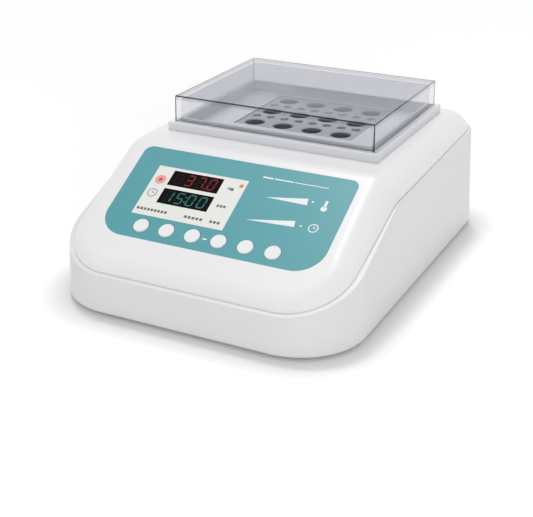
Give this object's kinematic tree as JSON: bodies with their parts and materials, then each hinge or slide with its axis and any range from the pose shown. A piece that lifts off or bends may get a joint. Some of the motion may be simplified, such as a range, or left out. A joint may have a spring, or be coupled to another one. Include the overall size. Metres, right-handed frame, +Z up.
{
  "type": "dry bath incubator",
  "caption": "Bench dry bath: a drilled aluminium block heated in a two-part moulded housing, under a clear lift-off lid, with a sloping control panel.",
  "frame": {"origin": "on the table, under the middle of the housing's footprint", "axes": "+Z up; -Y is the front, where the sloping panel faces the user; +X to the user's right"},
  "size_m": [0.2102, 0.2767, 0.1125],
  "materials": {
    "base_plastic": "moulded, satin",
    "shell_plastic": "moulded, semi-gloss",
    "frame_aluminium": "fine brushed, clear anodised",
    "plate_aluminium": "brushed",
    "block_aluminium": "machined, matt anodised",
    "clear_acrylic": "polished clear, faintly smoky",
    "silicone": "matt",
    "insulation": "fibre board",
    "zinc_steel": "zinc plated",
    "teal_film": "printed film, satin",
    "label_film": "printed film, satin",
    "dark_window": "smoked, polished",
    "button_plastic": "moulded, gloss",
    "black_plastic": "moulded, fine texture",
    "rocker_plastic": "moulded, gloss",
    "lamp_resin": "tinted resin",
    "board_laminate": "solder resist",
    "transformer_iron": "varnished laminations",
    "terminal_plastic": "moulded",
    "contact_brass": "nickel-washed brass",
    "foot_rubber": "moulded rubber"
  },
  "bodies": {
    "housing": {"base_housing": "base_plastic", "block_liner": "plate_aluminium", "board_screws": "zinc_steel", "carrier_pillars": "zinc_steel", "control_board": "board_laminate", "deck_plate": "plate_aluminium", "display_label": "label_film", "foot_1": "foot_rubber", "foot_2": "foot_rubber", "foot_3": "foot_rubber", "foot_4": "foot_rubber", "heat_sink": "plate_aluminium", "heater_carrier": "zinc_steel", "heater_mat": "silicone", "heater_plate": "block_aluminium", "housing_screws": "zinc_steel", "indicator_lamps": "lamp_resin", "inlet_blades": "contact_brass", "insulation_pad": "insulation", "insulation_sleeve": "insulation", "key_switches": "black_plastic", "lid_frame": "frame_aluminium", "mains_inlet": "black_plastic", "panel_film": "teal_film", "power_board": "board_laminate", "power_board_screws": "zinc_steel", "switch_frame": "black_plastic", "temperature_display": "black_plastic", "temperature_probe": "zinc_steel", "temperature_window": "dark_window", "terminal_block": "terminal_plastic", "thermal_cutout": "black_plastic", "time_display": "black_plastic", "time_window": "dark_window", "top_housing": "shell_plastic", "transformer": "transformer_iron"},
    "lid": {"lid": "clear_acrylic"},
    "block": {"heating_block": "block_aluminium"},
    "rocker": {"power_rocker": "rocker_plastic"},
    "fuse_tray": {"fuse_drawer": "black_plastic"},
    "key_1": {"button_1": "button_plastic"},
    "key_2": {"button_2": "button_plastic"},
    "key_3": {"button_3": "button_plastic"},
    "key_4": {"button_4": "button_plastic"},
    "key_5": {"button_5": "button_plastic"},
    "key_6": {"button_6": "button_plastic"}
  },
  "joints": [
    {"name": "lid_lift", "type": "slide", "parent": "housing", "child": "lid", "axis": [0, 0, 1], "range_m": [0, 0.12]},
    {"name": "block_lift", "type": "slide", "parent": "housing", "child": "block", "axis": [0, 0, 1], "range_m": [0, 0.06]},
    {"name": "key_1_press", "type": "slide", "parent": "housing", "child": "key_1", "axis": [0, 0.4818, -0.8763], "range_m": [0, 0.0005], "stiffness_N_per_m": 1500, "springref_m": -0.0005},
    {"name": "key_2_press", "type": "slide", "parent": "housing", "child": "key_2", "axis": [0, 0.4818, -0.8763], "range_m": [0, 0.0005], "stiffness_N_per_m": 1500, "springref_m": -0.0005},
    {"name": "key_3_press", "type": "slide", "parent": "housing", "child": "key_3", "axis": [0, 0.4818, -0.8763], "range_m": [0, 0.0005], "stiffness_N_per_m": 1500, "springref_m": -0.0005},
    {"name": "key_4_press", "type": "slide", "parent": "housing", "child": "key_4", "axis": [0, 0.4818, -0.8763], "range_m": [0, 0.0005], "stiffness_N_per_m": 1500, "springref_m": -0.0005},
    {"name": "key_5_press", "type": "slide", "parent": "housing", "child": "key_5", "axis": [0, 0.4818, -0.8763], "range_m": [0, 0.0005], "stiffness_N_per_m": 1500, "springref_m": -0.0005},
    {"name": "key_6_press", "type": "slide", "parent": "housing", "child": "key_6", "axis": [0, 0.4818, -0.8763], "range_m": [0, 0.0005], "stiffness_N_per_m": 1500, "springref_m": -0.0005},
    {"name": "power_rock", "type": "hinge", "parent": "housing", "child": "rocker", "pos_m": [-0.0267, 0.1323, 0.037], "axis": [1, 0, 0], "range_deg": [0, 16]},
    {"name": "fuse_slide", "type": "slide", "parent": "housing", "child": "fuse_tray", "axis": [0, 1, 0], "range_m": [0, 0.012]}
  ],
  "couplings": [
    {"joint": "block_lift", "follows": "lid_lift", "ratio": 0.5}
  ]
}
